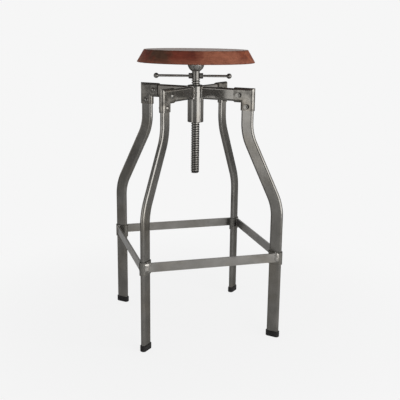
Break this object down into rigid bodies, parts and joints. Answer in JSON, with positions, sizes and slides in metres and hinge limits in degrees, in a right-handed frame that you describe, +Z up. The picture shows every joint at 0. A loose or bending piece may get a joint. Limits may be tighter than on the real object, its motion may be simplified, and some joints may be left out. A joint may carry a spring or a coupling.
{
  "type": "bar stool",
  "caption": "Backless bar stool with a bevelled round wooden seat on a lifting screw with a cross handle, cranked flat-tube steel legs in corner elbows, a square footrest and rubber feet.",
  "frame": {"origin": "on the floor, under the axis of the lifting screw", "axes": "+Z up along the screw; the legs stand on the diagonals and the footrest bars run along X and Y"},
  "size_m": [0.4026, 0.4026, 0.796],
  "materials": {
    "seat_wood": "red-brown stained hardwood under satin varnish, darker patches on one side",
    "seat_iron": "dark grey, slightly mottled",
    "bearing_steel": "bright ground steel, hidden",
    "screw_steel": "turned steel, oiled",
    "handle_steel": "dark steel, worn bright on the rod",
    "hub_steel": "dark waxed steel",
    "bush_brass": "plain turned bronze, hidden",
    "tube_steel": "dark waxed bare steel with brighter rounded edges",
    "elbow_iron": "mottled grey with worn patches",
    "collar_steel": "dark waxed bare steel with bright weld spots",
    "fastener_steel": "dark steel, domed heads",
    "foot_rubber": "matt black rubber"
  },
  "bodies": {
    "frame": {"hub_sleeve": "hub_steel", "screw_bush": "bush_brass", "arm_front_left": "tube_steel", "arm_front_right": "tube_steel", "arm_back_right": "tube_steel", "arm_back_left": "tube_steel", "elbow_front_left": "elbow_iron", "elbow_front_right": "elbow_iron", "elbow_back_right": "elbow_iron", "elbow_back_left": "elbow_iron", "elbow_bolts": "fastener_steel", "elbow_nuts": "fastener_steel", "leg_front_left": "tube_steel", "leg_front_right": "tube_steel", "leg_back_right": "tube_steel", "leg_back_left": "tube_steel", "collar_front_left": "collar_steel", "collar_front_right": "collar_steel", "collar_back_right": "collar_steel", "collar_back_left": "collar_steel", "footrest_front": "collar_steel", "footrest_right": "collar_steel", "footrest_back": "collar_steel", "footrest_left": "collar_steel", "foot_cap_front_left": "foot_rubber", "foot_cap_front_right": "foot_rubber", "foot_cap_back_right": "foot_rubber", "foot_cap_back_left": "foot_rubber"},
    "thrust_bearing": {"bearing_cage": "bearing_steel", "bearing_balls": "bearing_steel"},
    "screw": {"lift_screw": "screw_steel", "bearing_lower_race": "bearing_steel", "spigot_washer": "screw_steel", "spigot_nut": "screw_steel", "handle_rod": "handle_steel", "handle_nut_left": "handle_steel", "handle_nut_right": "handle_steel", "handle_ball_left": "handle_steel", "handle_ball_right": "handle_steel"},
    "seat": {"seat_disc": "seat_wood", "seat_plate": "seat_iron", "seat_screws": "fastener_steel", "swivel_dome": "seat_iron", "bearing_upper_race": "bearing_steel"}
  },
  "joints": [
    {"name": "seat_lift", "type": "slide", "parent": "frame", "child": "thrust_bearing", "axis": [0, 0, 1], "range_m": [-0.015, 0.1395]},
    {"name": "screw_turn", "type": "hinge", "parent": "thrust_bearing", "child": "screw", "pos_m": [0, 0, 0.7238], "axis": [0, 0, 1], "range_deg": [-800, 7440]},
    {"name": "seat_swivel", "type": "hinge", "parent": "thrust_bearing", "child": "seat", "pos_m": [0, 0, 0.7528], "axis": [0, 0, 1], "continuous": true}
  ],
  "couplings": [
    {"joint": "seat_lift", "follows": "screw_turn", "m_per_rad": 0.0010743}
  ]
}
